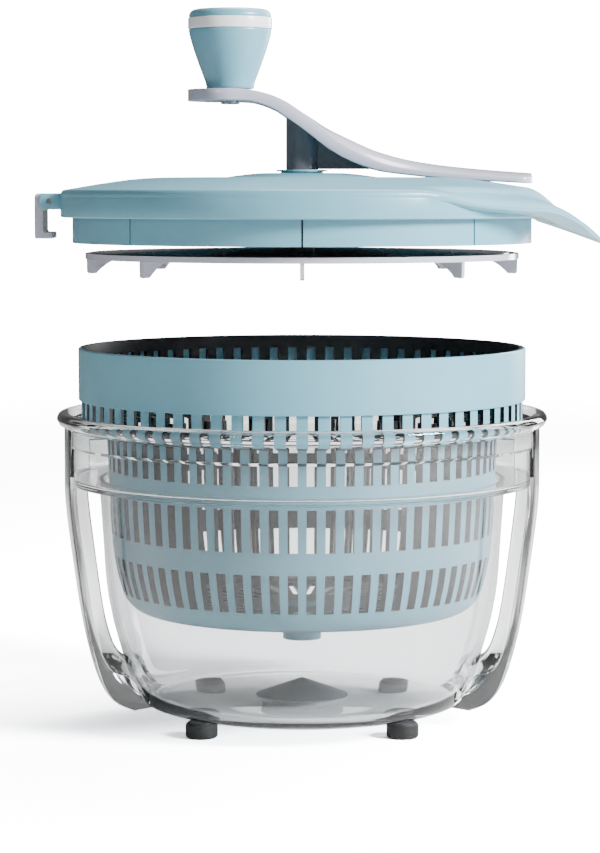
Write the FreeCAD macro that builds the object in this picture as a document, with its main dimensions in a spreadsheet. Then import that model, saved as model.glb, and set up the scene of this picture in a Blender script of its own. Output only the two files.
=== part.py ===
"""Hand-cranked salad spinner, drawn with its lid and basket lifted out of the bowl.

The frame: millimetres, +Z up, origin on the spin axis at the level of the counter. +X points at the
lid's pouring beak and -X at its latch. The lid comes down by lid_drop and the basket by basket_drop
when the spinner is closed.
"""
import FreeCAD, Part
import math
import os

import Sketcher
from FreeCAD import Placement, Rotation, Vector

DIMENSIONS = [
    # the bowl
    ("rim_radius", 140.0, "outside of the bowl's rolled rim"),
    ("rim_height", 178.0, "top of the rim above the counter"),
    ("rim_bead", 7.0, "thickness of the rolled rim"),
    ("drum_bore", 131.0, "inner radius of the upper drum, which takes the lid's skirt"),
    ("drum_skin", 3.5, "wall of the drum near the rim"),
    ("drum_step", 160.0, "height at which the drum thickens towards the rim"),
    ("drum_thin", 2.0, "wall of the drum below that"),
    ("ledge_height", 140.0, "top of the ledge under the drum"),
    ("wall_skin", 2.5, "wall of the lower bowl"),
    ("floor_height", 13.0, "inside floor of the bowl"),
    ("floor_radius", 80.0, "where the bowl's flat floor meets its curved wall"),
    ("base_height", 9.0, "underside of the bowl"),
    ("strap_skin", 4.0, "thickness of each side handle"),
    ("strap_spread", 17.0, "half the angle that a side handle takes up"),
    ("foot_radius", 9.0, "rubber foot"),
    ("foot_circle", 79.0, "distance of the feet from the axis"),
    ("cone_radius", 26.5, "foot of the pivot cone"),
    ("cone_height", 11.0, "height of the pivot cone"),
    # the basket
    ("basket_top", 214.5, "top edge of the lifted basket"),
    ("basket_bottom", 65.0, "underside of the lifted basket"),
    ("collar_radius", 125.6, "outside of the basket's ribbed collar"),
    ("band_skin", 1.6, "thickness of the plain band round the collar"),
    ("band_height", 29.5, "height of the plain band"),
    ("basket_skin", 2.0, "wall of the basket"),
    ("rib_count", 68.0, "ribs, and slots between them"),
    ("slot_wide", 5.4, "width of a slot"),
    ("boss_radius", 11.0, "boss under the basket's floor"),
    ("cap_radius", 8.0, "pivot cap inside the boss"),
    ("cap_low", 47.3, "lower face of the pivot cap"),
    # the lid
    ("lid_radius", 136.6, "outside of the lid's band"),
    ("lid_low", 288.0, "lower edge of the band of the lifted lid"),
    ("lid_shoulder", 304.0, "top edge of the band"),
    ("lid_crown", 313.5, "top of the lid at its middle"),
    ("lid_skin", 2.5, "thickness of the lid"),
    ("beak_reach", 170.5, "tip of the pouring beak from the axis"),
    ("skirt_bore", 128.0, "inner radius of the lid's skirt"),
    ("skirt_skin", 2.0, "thickness of the skirt"),
    ("skirt_low", 273.7, "lower edge of the skirt"),
    ("skirt_top", 301.79, "upper edge of the skirt, against the lid"),
    ("skirt_slits", 8.0, "slits in the skirt"),
    ("latch_pivot_x", -142.0, "axis of the latch pin"),
    ("latch_pivot_z", 297.0, "height of the latch pin"),
    ("pin_radius", 1.5, "latch pin"),
    # the drive
    ("gear_module", 1.0, "pitch diameter for each tooth"),
    ("ring_teeth", 72.0, "teeth inside the crank's ring gear"),
    ("planet_teeth", 27.0, "teeth on each planet gear"),
    ("sun_teeth", 18.0, "teeth on the disc's sun gear"),
    ("gear_low", 279.5, "lower face of the gears"),
    ("gear_high", 287.5, "upper face of the gears"),
    ("plate_low", 276.0, "lower face of the gear plate"),
    ("plate_radius", 54.0, "gear plate"),
    ("planet_pin_radius", 2.5, "planet pins"),
    ("disc_radius", 122.9, "rim of the drive disc"),
    ("disc_top", 268.0, "top of the disc's rim"),
    ("fin_count", 8.0, "driving fins under the disc"),
    # the crank
    ("post_radius", 9.1, "crank post"),
    ("knob_offset", -40.6, "knob axis"),
    ("knob_low", 360.3, "underside of the knob"),
    ("knob_axle_radius", 3.0, "steel axle of the knob"),
    ("arm_half_width", 24.0, "half the width of the crank arm at the knob"),
]

UP = Vector(0, 0, 1)
ORIGIN = Vector(0, 0, 0)
RUNNING_GAP = 0.06

doc = FreeCAD.newDocument("SaladSpinner")
sheet = doc.addObject("Spreadsheet::Sheet", "Dims")
for row, (alias, value, meaning) in enumerate(DIMENSIONS, start=1):
    sheet.set(f"A{row}", alias)
    sheet.set(f"B{row}", str(value))
    sheet.set(f"C{row}", meaning)
    sheet.setAlias(f"B{row}", alias)
doc.recompute()

subparts = []
ALIASES = {alias for alias, _, _ in DIMENSIONS}


def dim(alias):
    """The value of one driving dimension."""
    return float(sheet.get(alias))


def subpart(piece, label):
    """Marks a document object as one physical piece of the spinner."""
    piece.Label = label
    subparts.append(piece)
    return piece


# ---------------------------------------------------------------- shared makers


def origin_part(body, role):
    """One of the planes or axes of a body's own origin."""
    return next(f for f in body.Origin.OriginFeatures if f.Role == role)


def rule_value(rule):
    """The number a corner's rule stands for: a number, or names and numbers joined by + and -."""
    total, sign = 0.0, 1.0
    for word in str(rule).split():
        if word in ("+", "-"):
            sign = 1.0 if word == "+" else -1.0
        else:
            total += sign * (dim(word) if word in ALIASES else float(word))
    return total


def on_sheet(rule):
    """The rule with every name written as a cell of the sheet."""
    return " ".join("Dims." + word if word in ALIASES else word for word in rule.split())


def drawn_outline(body, name, role, corners):
    """A closed outline of straight lines on one of the body's own planes.

    Each corner is a pair of numbers or expressions on the sheet, and every corner is held by two
    constraints, so the outline follows the sheet.
    """
    sketch = body.newObject("Sketcher::SketchObject", name)
    sketch.AttachmentSupport = [(origin_part(body, role), "")]
    sketch.MapMode = "FlatFace"
    places = [tuple(rule_value(rule) for rule in corner) for corner in corners]
    count = len(corners)
    for i, (across, up) in enumerate(places):
        following = places[(i + 1) % count]
        sketch.addGeometry(Part.LineSegment(Vector(across, up, 0), Vector(*following, 0)), False)
    for i in range(count):
        sketch.addConstraint(Sketcher.Constraint("Coincident", i, 2, (i + 1) % count, 1))
    for i, (corner, place) in enumerate(zip(corners, places)):
        for word, kind, rule, value in zip(("across", "up"), ("DistanceX", "DistanceY"), corner, place):
            index = sketch.addConstraint(Sketcher.Constraint(kind, -1, 1, i, 1, value))
            sketch.renameConstraint(index, f"{word}{i}")
            sketch.setExpression(f"Constraints.{word}{i}", on_sheet(rule))
    return sketch


def turned_body(label, corners):
    """A piece turned about the Z axis from an outline of (radius, height) corners."""
    body = doc.addObject("PartDesign::Body", label)
    sketch = drawn_outline(body, label + "_outline", "XZ_Plane", corners)
    turn = body.newObject("PartDesign::Revolution", label + "_turn")
    turn.Profile = sketch
    turn.ReferenceAxis = (sketch, ["V_Axis"])
    turn.Angle = 360
    body.Tip = turn
    return body


def shaped(name, shape):
    """A document object whose shape is made here."""
    feature = doc.addObject("Part::Feature", name)
    feature.Shape = shape
    return feature


def at(radius, height):
    return Vector(radius, 0, height)


def smooth(points, leaving=None, arriving=None):
    """A smooth edge through (radius, height) points, with its end directions held where they're given."""
    curve = Part.BSplineCurve()
    places = [at(*p) for p in points]
    ends = [ORIGIN] * len(places)
    held = [False] * len(places)
    for spot, direction in ((0, leaving), (-1, arriving)):
        if direction:
            ends[spot], held[spot] = at(*direction), True
    if any(held):
        curve.interpolate(Points=places, Tangents=ends, TangentFlags=held)
    else:
        curve.interpolate(places)
    return curve.toShape()


def straight(points):
    """Straight edges from each (radius, height) point to the next."""
    return [Part.LineSegment(at(*a), at(*b)).toShape() for a, b in zip(points, points[1:])]


def face_of(edges):
    return Part.Face(Part.Wire(Part.__sortEdges__(edges)))


def turned(edges, angle=360.0, start=0.0):
    """The solid that an outline in the XZ plane sweeps about the Z axis."""
    face = face_of(edges)
    face.rotate(ORIGIN, UP, start)
    return face.revolve(ORIGIN, UP, angle)


def slab(edges, half_width):
    """The solid that an outline in the XZ plane fills on both sides of that plane."""
    face = face_of(edges)
    face.translate(Vector(0, -half_width, 0))
    return face.extrude(Vector(0, 2 * half_width, 0))


def radial_box(inner, outer, width, low, high, angle):
    box = Part.makeBox(outer - inner, width, high - low, Vector(inner, -width / 2, low))
    box.rotate(ORIGIN, UP, angle)
    return box


# ---------------------------------------------------------------- bowl


def bowl_shape():
    """The bowl round its flat floor: wide drum under the rim, ledge, tapered wall, a strap on each side."""
    rim, top, bead = dim("rim_radius"), dim("rim_height"), dim("rim_bead")
    bore, drum = dim("drum_bore"), dim("drum_bore") + dim("drum_skin")
    ledge, skin = dim("ledge_height"), dim("wall_skin")
    floor, base, flat = dim("floor_height"), dim("base_height"), dim("floor_radius")
    curl = bead / 2
    thin, step = bore + dim("drum_thin"), dim("drum_step")
    under = ledge - 2.5
    wall = [(flat, base), (92.6, 14.0), (99.4, 28.0), (104.6, 45.0), (108.6, 60.0), (112.0, 80.0), (113.7, 105.0),
            (115.4, under)]
    inner = [(115.4 - skin, ledge), (113.7 - skin, 105.0), (112.0 - skin, 80.0), (108.6 - skin, 60.0),
             (104.6 - skin, 45.0), (97.0, 28.6), (91.0, 17.6), (flat, floor)]
    outline = [smooth(wall, leaving=(1, 0.06))]
    outline += straight([wall[-1], (thin, under), (thin, step - 0.8), (drum, step + 0.8), (drum, top - bead),
                         (rim - curl, top - bead)])
    outline.append(Part.Arc(at(rim - curl, top - bead), at(rim, top - curl), at(rim - curl, top)).toShape())
    outline += straight([(rim - curl, top), (bore, top), (bore, ledge), inner[0]])
    outline.append(smooth(inner))
    outline += straight([inner[-1], wall[0]])
    shell = turned(outline)
    return shell.fuse([strap_shape(0.0), strap_shape(180.0)]).removeSplitter()


def strap_shape(direction):
    """A side handle: a curved strap from the rim to the base, with finger room behind it."""
    top, base, skin = dim("rim_height") - dim("rim_bead") + 1.0, dim("base_height"), dim("strap_skin")
    spread = dim("strap_spread")
    outside = [(135.4, top), (135.4, 150.0), (135.0, 126.0), (130.9, 92.0), (125.7, 57.7), (118.3, 29.0),
               (110.6, 15.0), (98.0, base)]
    inside = [(114.0, 30.5), (125.7 - skin, 58.5), (130.9 - skin, 93.0), (135.0 - skin, 126.0),
              (135.4 - skin, 150.0), (135.4 - skin, top)]
    outline = [smooth(outside)]
    outline += straight([outside[-1], (84.0, base), (84.0, 11.0), (93.0, 18.5), (98.2, 28.0), inside[0]])
    outline.append(smooth(inside))
    outline += straight([inside[-1], outside[0]])
    return turned(outline, 2 * spread, direction - spread)


subpart(shaped("Bowl", bowl_shape()), "bowl")

subpart(
    turned_body("BowlFloor", [
        ("0", "base_height"),
        ("floor_radius", "base_height"),
        ("floor_radius", "floor_height"),
        ("0", "floor_height"),
    ]),
    "bowl_floor",
)

subpart(
    turned_body("PivotCone", [
        ("0", "floor_height"),
        ("cone_radius", "floor_height"),
        ("cone_radius", "floor_height + 1"),
        ("0.6", "floor_height + cone_height"),
        ("0", "floor_height + cone_height"),
    ]),
    "pivot_cone",
)

FOOT_CORNERS = {"front_left": 225, "front_right": 315, "rear_right": 45, "rear_left": 135}
for corner, bearing in FOOT_CORNERS.items():
    foot = turned_body("Foot_" + corner, [
        ("0", "0"),
        ("foot_radius - 1", "0"),
        ("foot_radius", "1"),
        ("foot_radius", "base_height - 1.5"),
        ("foot_radius - 1.5", "base_height"),
        ("0", "base_height"),
    ])
    turn = math.radians(bearing)
    reach = dim("foot_circle")
    foot.Placement = Placement(Vector(reach * math.cos(turn), reach * math.sin(turn), 0), Rotation())
    subpart(foot, "foot_" + corner)

# ---------------------------------------------------------------- basket


def basket_shape():
    """The moulded basket: ribbed collar, shoulder, tapered ribbed wall with two hoops, slotted floor."""
    collar, skin = dim("collar_radius"), dim("basket_skin")
    top, low = dim("basket_top"), dim("basket_bottom")
    wall = [(86.0, low), (95.5, 66.8), (100.4, 71.6), (103.9, 80.0), (107.2, 95.0), (109.1, 114.9), (110.4, 140.0),
            (111.0, 165.8)]
    inner = [(111.0 - skin, 168.2), (110.4 - skin, 140.0), (109.1 - skin, 114.9), (107.2 - skin, 95.0),
             (103.9 - skin, 80.8), (98.9, 73.2), (94.5, 69.0), (86.0, low + skin)]
    boss, cap = dim("boss_radius"), dim("cap_radius") + RUNNING_GAP
    pocket, stop, end = dim("cap_low") + 14.9, dim("cap_low") + 1.9, dim("cap_low") - 0.3
    outline = straight([(0, pocket), (cap, pocket), (cap, stop), (6.8, stop), (6.8, end), (boss, end), (boss, low),
                        wall[0]])
    outline.append(smooth(wall))
    outline += straight([wall[-1], (collar, 168.2), (collar, top), (collar - skin, top), (collar - skin, 170.2),
                         inner[0]])
    outline.append(smooth(inner))
    roof = low + skin + 2.0
    outline += straight([inner[-1], (boss + 3, low + skin), (boss - 2, roof), (0, roof), (0, pocket)])
    basket = turned(outline)
    return basket.cut(Part.makeCompound(slot_cutters())).removeSplitter()


def slot_cutters():
    """Boxes that open the rows of slots in the wall and the ring of slots in the floor."""
    count, width = int(dim("rib_count")), dim("slot_wide")
    rows = [(98.0, 140.0, 146.0, 207.0), (98.0, 118.0, 110.0, 133.5), (90.0, 118.0, 76.5, 98.0)]
    cutters = []
    for i in range(count):
        angle = 360.0 * (i + 0.5) / count
        cutters += [radial_box(inner, outer, width, low, high, angle) for inner, outer, low, high in rows]
    for i in range(count // 2):
        cutters.append(radial_box(34.0, 78.0, 3.6, 60.0, 72.0, 720.0 * i / count))
    return cutters


subpart(shaped("Basket", basket_shape()), "basket")

subpart(
    turned_body("BasketBand", [
        ("collar_radius", "basket_top - band_height"),
        ("collar_radius + band_skin - 0.3", "basket_top - band_height"),
        ("collar_radius + band_skin", "basket_top - band_height + 0.3"),
        ("collar_radius + band_skin", "basket_top - 0.5"),
        ("collar_radius + band_skin - 0.5", "basket_top"),
        ("collar_radius", "basket_top"),
    ]),
    "basket_band",
)

subpart(
    turned_body("PivotCap", [
        ("0", "cap_low + 2.1"),
        ("5", "cap_low"),
        ("6.2", "cap_low"),
        ("6.2", "cap_low + 2.2"),
        ("cap_radius", "cap_low + 2.2"),
        ("cap_radius", "cap_low + 13.7"),
        ("cap_radius - 1", "cap_low + 14.7"),
        ("0", "cap_low + 14.7"),
    ]),
    "pivot_cap",
)

# ---------------------------------------------------------------- lid


def lid_slope(radius):
    """Height of the lid's shallow cone at a radius."""
    edge = dim("lid_radius") - 2.6
    return dim("lid_shoulder") + (dim("lid_crown") - dim("lid_shoulder")) * (edge - radius) / edge


def lid_shape():
    """The lid's top shell: shallow cone, band, centre boss, pouring beak and the latch lugs."""
    radius, low, shoulder = dim("lid_radius"), dim("lid_low"), dim("lid_shoulder")
    skin = dim("lid_skin")
    hole, boss = 12.0, 15.0
    outline = straight([(hole, 301.0), (hole, lid_slope(hole)), (radius - 2.6, shoulder)])
    outline.append(Part.Arc(at(radius - 2.6, shoulder), at(radius - 0.76, shoulder - 0.76),
                            at(radius, shoulder - 2.6)).toShape())
    outline += straight([(radius, shoulder - 2.6), (radius, low), (radius - skin, low),
                         (radius - skin, shoulder - skin), (boss, lid_slope(boss) - skin), (boss, 301.0),
                         (hole, 301.0)])
    shell = turned(outline)
    pieces = [beak_shape()]
    for side in (-1, 1):
        lug = Part.makeBox(14.0, 3.0, 9.6, Vector(-148.0, side * 16.9 - 1.5, 292.2))
        pieces.append(lug)
    shell = shell.fuse(pieces)
    bore = Part.makeCylinder(dim("pin_radius"), 44.0,
                             Vector(dim("latch_pivot_x"), -22.0, dim("latch_pivot_z")), Vector(0, 1, 0))
    hollow = Part.makeCylinder(radius - skin, 11.0, Vector(0, 0, low - 0.5), UP)
    return shell.cut([bore, hollow]).removeSplitter()


def beak_shape():
    """The pouring beak: the lid's edge carried out and down in a drooping tongue."""
    tip = dim("beak_reach")
    inner = dim("lid_radius") - dim("lid_skin") / 2
    top = [(128.0, 303.6), (134.0, 301.4), (139.2, 297.4), (144.8, 292.6), (152.0, 288.6), (162.0, 282.4),
           (tip, 274.9)]
    under = [(tip - 1.4, 273.6), (160.5, 280.0), (150.5, 285.8), (143.0, 289.6), (137.4, 294.2),
             (133.0, 298.4), (128.0, 300.6)]
    outline = [smooth(top)] + straight([top[-1], under[0]])
    outline += [smooth(under)] + straight([under[-1], top[0]])
    tongue = turned(outline, 160.0, -80.0).common(beak_plan(260.0, 60.0))
    return tongue.cut(Part.makeCylinder(inner, 60.0, Vector(0, 0, 260.0)))


def beak_plan(low, height):
    """A prism whose outline leaves the lid's circle smoothly and closes round the beak's tip."""
    start, spread = dim("lid_radius"), 64.0
    points = []
    for step in range(-8, 9):
        angle = spread * step / 8.0
        bulge = math.cos(math.radians(90.0 * step / 8.0)) ** 2
        reach = start - 0.4 + (dim("beak_reach") - start + 0.4) * bulge
        points.append(Vector(reach * math.cos(math.radians(angle)), reach * math.sin(math.radians(angle)), low))
    curve = Part.BSplineCurve()
    curve.interpolate(points)
    closing = [Part.LineSegment(points[-1], Vector(0, 0, low)).toShape(),
               Part.LineSegment(Vector(0, 0, low), points[0]).toShape()]
    return Part.Face(Part.Wire([curve.toShape()] + closing)).extrude(Vector(0, 0, height))


subpart(shaped("LidShell", lid_shape()), "lid_shell")


def skirt_body():
    """The skirt under the lid, with slits that let it spring."""
    body = turned_body("LidSkirt", [
        ("skirt_bore", "skirt_low"),
        ("skirt_bore + skirt_skin", "skirt_low"),
        ("skirt_bore + skirt_skin", "skirt_top"),
        ("skirt_bore", "skirt_top + 0.14"),
    ])
    doc.recompute()
    plain = body.Shape.Volume
    slit = drawn_outline(body, "Slit", "YZ_Plane", [
        ("-0.5", "skirt_low - 1"),
        ("0.5", "skirt_low - 1"),
        ("0.5", "skirt_low + 15"),
        ("-0.5", "skirt_low + 15"),
    ])
    pocket = body.newObject("PartDesign::Pocket", "SlitPocket")
    pocket.Profile = slit
    pocket.setExpression("Length", "Dims.skirt_bore + Dims.skirt_skin + 5")
    pocket.Reversed = True
    body.Tip = pocket
    doc.recompute()
    if body.Shape.Volume > plain - 1:
        raise RuntimeError("the slit cuts nothing")
    ring = body.newObject("PartDesign::PolarPattern", "SlitRing")
    ring.Originals = [pocket]
    ring.Axis = (origin_part(body, "Z_Axis"), [""])
    ring.Angle = 360
    ring.Occurrences = int(dim("skirt_slits"))
    body.Tip = ring
    return body


subpart(skirt_body(), "lid_skirt")

subpart(
    turned_body("CrankBush", [
        ("post_radius + 0.06", "301"),
        ("12", "301"),
        ("12", "lid_crown + 0.3"),
        ("14.4", "lid_crown + 0.3"),
        ("14.4", "lid_crown + 1.3"),
        ("post_radius + 0.06", "lid_crown + 1.3"),
    ]),
    "crank_bush",
)


def latch_shape():
    """The latch: a knuckle round the pin, a flat stem and a lip that goes under the bowl's rim."""
    pivot_x, pivot_z = dim("latch_pivot_x"), dim("latch_pivot_z")
    half = 15.0
    across = Vector(0, 1, 0)
    knuckle = Part.makeCylinder(4.6, 2 * half, Vector(pivot_x, -half, pivot_z), across)
    outer = pivot_x - 8.5
    cheek = Part.makeBox(8.5, 2 * half, 9.2, Vector(outer, -half, pivot_z - 4.6))
    stem = Part.makeBox(5.0, 2 * half, 24.0, Vector(outer, -half, pivot_z - 21.0))
    lip = Part.makeBox(9.9, 2 * half, 3.8, Vector(outer, -half, pivot_z - 21.0))
    body = knuckle.fuse([cheek, stem, lip]).removeSplitter()
    bore = Part.makeCylinder(dim("pin_radius") + RUNNING_GAP, 2 * half + 2,
                             Vector(pivot_x, -half - 1, pivot_z), across)
    return body.cut(bore)


subpart(shaped("Latch", latch_shape()), "latch")

latch_pin = doc.addObject("Part::Cylinder", "LatchPin")
latch_pin.setExpression("Radius", "Dims.pin_radius")
latch_pin.Height = 36.8
latch_pin.Placement = Placement(
    Vector(dim("latch_pivot_x"), 18.4, dim("latch_pivot_z")), Rotation(Vector(1, 0, 0), 90)
)
subpart(latch_pin, "latch_pin")

# ---------------------------------------------------------------- gears


def involute_point(base, radius, flank_angle, side):
    """A point of an involute flank: base circle, radius, angle of the flank's start, +1 or -1."""
    roll = math.sqrt(max((radius / base) ** 2 - 1.0, 0.0))
    angle = flank_angle - side * (roll - math.atan(roll))
    return Vector(radius * math.cos(angle), radius * math.sin(angle), 0)


def toothed_outline(teeth, root, tip, play, turn):
    """A gear outline. Each tooth is thinner than its share of the pitch circle by play."""
    pressure = math.radians(20.0)
    pitch = dim("gear_module") * teeth / 2.0
    base = pitch * math.cos(pressure)
    half = math.pi / (2 * teeth) - play / (2 * pitch) + math.tan(pressure) - pressure
    low = max(root, base)
    edges, last = [], None
    for tooth in range(teeth):
        middle = math.radians(turn) + 2 * math.pi * tooth / teeth
        flank = {}
        for side in (-1, 1):
            flank[side] = [involute_point(base, r, middle + side * half, side) for r in (low, (low + tip) / 2, tip)]
        foot = {s: Vector(root * math.cos(middle + s * half), root * math.sin(middle + s * half), 0) for s in (-1, 1)}
        dips = root < base - 0.01
        start, end = (foot[-1], foot[1]) if dips else (flank[-1][0], flank[1][0])
        if last is not None:
            edges.append(Part.LineSegment(last, start).toShape())
        else:
            first = start
        if dips:
            edges.append(Part.LineSegment(start, flank[-1][0]).toShape())
        edges.append(Part.Arc(*flank[-1]).toShape())
        edges.append(Part.LineSegment(flank[-1][2], flank[1][2]).toShape())
        edges.append(Part.Arc(*reversed(flank[1])).toShape())
        if dips:
            edges.append(Part.LineSegment(flank[1][0], end).toShape())
        last = end
    edges.append(Part.LineSegment(last, first).toShape())
    return Part.Face(Part.Wire(edges))


def gear_blank(teeth, root, tip, play, turn):
    """The toothed outline drawn up from the gears' lower face to their upper face."""
    outline = toothed_outline(teeth, root, tip, play, turn)
    outline.translate(Vector(0, 0, dim("gear_low")))
    return outline.extrude(Vector(0, 0, dim("gear_high") - dim("gear_low")))


def pitch_radius(alias):
    return dim("gear_module") * dim(alias) / 2.0


PLAY = 0.16
PLANET_BEARINGS = (90.0, 210.0, 330.0)
planet_orbit = (dim("ring_teeth") - dim("planet_teeth")) * dim("gear_module") / 2.0


def planet_shape(bearing):
    """A planet gear with one tooth turned towards the sun."""
    pitch, module = pitch_radius("planet_teeth"), dim("gear_module")
    gear = gear_blank(int(dim("planet_teeth")), pitch - 1.2 * module, pitch + 0.9 * module, PLAY, bearing + 180.0)
    bore = Part.makeCylinder(dim("planet_pin_radius") + RUNNING_GAP, 20.0, Vector(0, 0, dim("gear_low") - 5))
    return gear.cut(bore)


for number, bearing in enumerate(PLANET_BEARINGS, start=1):
    planet = shaped(f"Planet{number}", planet_shape(bearing))
    turn = math.radians(bearing)
    planet.Placement = Placement(Vector(planet_orbit * math.cos(turn), planet_orbit * math.sin(turn), 0), Rotation())
    subpart(planet, f"planet_gear_{number}")


def planet_pins_shape():
    pins = []
    for bearing in PLANET_BEARINGS:
        turn = math.radians(bearing)
        place = Vector(planet_orbit * math.cos(turn), planet_orbit * math.sin(turn), dim("plate_low"))
        pins.append(Part.makeCylinder(dim("planet_pin_radius"), dim("gear_high") - dim("plate_low") + 0.2, place))
    return Part.makeCompound(pins)


subpart(shaped("PlanetPins", planet_pins_shape()), "planet_pins")


def sun_shape():
    """The sun gear and the shaft that carries it down to the drive disc."""
    pitch, module = pitch_radius("sun_teeth"), dim("gear_module")
    gear = gear_blank(int(dim("sun_teeth")), pitch - 1.2 * module, pitch + 0.9 * module, PLAY, 0.0)
    shaft = Part.makeCylinder(7.2, dim("gear_low") - 271.0 + 0.2, Vector(0, 0, 271.0))
    screw_way = Part.makeCylinder(1.6, 12.0, Vector(0, 0, 270.0))
    return gear.fuse(shaft).removeSplitter().cut(screw_way)


subpart(shaped("SunGear", sun_shape()), "sun_gear")


def ring_gear_shape():
    """The ring gear: a cup with teeth inside, and a hub with a square drive on top."""
    pitch, module = pitch_radius("ring_teeth"), dim("gear_module")
    web = dim("gear_high") + 0.6
    cup = Part.makeCylinder(41.0, web + 2.5 - dim("gear_low"), Vector(0, 0, dim("gear_low")))
    teeth = gear_blank(int(dim("ring_teeth")), pitch - 0.9 * module, pitch + 1.2 * module, -PLAY, 2.5)
    over = Part.makeCylinder(pitch + 1.2 * module, 0.7, Vector(0, 0, dim("gear_high") - 0.05))
    hub = Part.makeCylinder(dim("post_radius"), 15.0, Vector(0, 0, web + 1.0))
    drive = Part.makeBox(9.0, 9.0, 12.0, Vector(-4.5, -4.5, web + 15.5))
    way = Part.makeCylinder(2.1, 60.0, Vector(0, 0, web - 5))
    head_room = Part.makeCylinder(4.2, 8.0, Vector(0, 0, web - 5))
    return cup.cut([teeth, over]).fuse([hub, drive]).removeSplitter().cut([way, head_room])


subpart(shaped("RingGear", ring_gear_shape()), "ring_gear")


def gear_plate_shape():
    """The fixed plate that carries the planet pins and hangs on four posts under the lid."""
    low, radius = dim("plate_low"), dim("plate_radius")
    plate = Part.makeCylinder(radius, 3.0, Vector(0, 0, low))
    posts, ways = [], []
    for bearing in (0, 90, 180, 270):
        turn = math.radians(bearing)
        spot = Vector(47.5 * math.cos(turn), 47.5 * math.sin(turn), low)
        posts.append(Part.makeCylinder(4.0, lid_slope(51.5) - dim("lid_skin") - low - 0.1, spot))
        ways.append(Part.makeCylinder(1.5, 22.0, spot))
    shape = plate.fuse(posts).removeSplitter()
    ways.append(Part.makeCylinder(7.8, 10.0, Vector(0, 0, low - 1)))
    for bearing in PLANET_BEARINGS:
        turn = math.radians(bearing)
        spot = Vector(planet_orbit * math.cos(turn), planet_orbit * math.sin(turn), low - 1)
        ways.append(Part.makeCylinder(dim("planet_pin_radius"), 10.0, spot))
    return shape.cut(ways)


subpart(shaped("GearPlate", gear_plate_shape()), "gear_plate")


def plate_screws_shape():
    screws = []
    for bearing in (0, 90, 180, 270):
        turn = math.radians(bearing)
        spot = Vector(47.5 * math.cos(turn), 47.5 * math.sin(turn), dim("plate_low"))
        shank = Part.makeCylinder(1.5, 20.0, spot)
        head = Part.makeCylinder(3.0, 1.8, spot - Vector(0, 0, 1.8))
        cross = [Part.makeBox(4.0, 0.8, 1.0, spot - Vector(2.0, 0.4, 2.0)),
                 Part.makeBox(0.8, 4.0, 1.0, spot - Vector(0.4, 2.0, 2.0))]
        screws.append(shank.fuse(head).removeSplitter().cut(cross))
    return Part.makeCompound(screws)


subpart(shaped("PlateScrews", plate_screws_shape()), "plate_screws")

# ---------------------------------------------------------------- drive disc


def drive_disc_shape():
    """The grey disc that turns the basket: shallow dish, hub, and fins that reach between the ribs."""
    radius, top = dim("disc_radius"), dim("disc_top")
    outline = straight([(1.6, 266.0), (1.6, 271.0), (12.0, 271.0), (12.0, 269.9), (20.0, 269.9),
                        (radius - 3.0, top - 0.6), (radius - 2.2, top), (radius, top), (radius, top - 3.2),
                        (radius - 3.0, top - 3.2), (24.0, 267.4), (12.0, 267.4), (12.0, 263.0), (5.0, 263.0),
                        (5.0, 266.0), (1.6, 266.0)])
    disc = turned(outline)
    return disc.fuse([fin_shape(360.0 * i / dim("fin_count")) for i in range(int(dim("fin_count")))]).removeSplitter()


def fin_shape(bearing):
    """One driving fin: a thin plate with an upright outer edge and a swept lower edge."""
    radius, top = dim("disc_radius"), dim("disc_top")
    sweep = [(radius - 6.0, 256.2), (radius - 9.5, 259.6), (radius - 15.0, 263.2), (radius - 27.0, 265.4)]
    outline = straight([(radius - 0.4, top - 1.0), (radius - 0.6, 257.0), (radius - 1.6, 256.0), sweep[0]])
    outline.append(smooth(sweep))
    outline += straight([sweep[-1], (radius - 27.0, 266.6), (radius - 3.0, top - 1.6), (radius - 0.4, top - 1.0)])
    fin = slab(outline, 1.2)
    fin.rotate(ORIGIN, UP, bearing)
    return fin


subpart(shaped("DriveDisc", drive_disc_shape()), "drive_disc")

subpart(
    turned_body("DiscCover", [
        ("12.6", "270"),
        ("20", "270"),
        ("disc_radius - 3.4", "disc_top - 0.4"),
        ("disc_radius - 3.4", "disc_top + 0.5"),
        ("20", "271"),
        ("12.6", "271"),
    ]),
    "disc_cover",
)

subpart(
    turned_body("RotorScrew", [
        ("0", "262.6"),
        ("4", "262.6"),
        ("4.4", "263.2"),
        ("4.4", "265.95"),
        ("1.6", "265.95"),
        ("1.6", "280"),
        ("0", "280"),
    ]),
    "rotor_screw",
)

# ---------------------------------------------------------------- crank


PAD_END = -64.8
LEVEL = (1, 0)
ARM_UPPER = [(-36.0, 360.0), (-21.7, 357.7), (-9.7, 353.1), (2.5, 344.8), (18.5, 331.9), (30.5, 324.6), (42.5, 319.2),
             (56.0, 315.9), (76.6, 313.5), (100.6, 311.7), (129.0, 310.4)]
ARM_LOWER = [(-34.0, 353.3), (-25.7, 352.2), (-15.2, 348.2), (-8.0, 343.4), (2.3, 336.0), (14.3, 326.7),
             (26.3, 319.9), (41.7, 314.6), (56.0, 312.3), (76.6, 310.3), (100.6, 308.7), (130.0, 307.0)]


def arm_side():
    """The arm's outline seen from the side: level under the knob, then an S down to the tail."""
    start_high, start_low = (PAD_END, ARM_UPPER[0][1]), (PAD_END, ARM_LOWER[0][1])
    outline = straight([start_high, ARM_UPPER[0]]) + [smooth(ARM_UPPER, leaving=LEVEL)]
    outline += straight([ARM_UPPER[-1], ARM_LOWER[-1]]) + [smooth(ARM_LOWER, leaving=LEVEL)]
    return outline + straight([ARM_LOWER[0], start_low, start_high])


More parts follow.
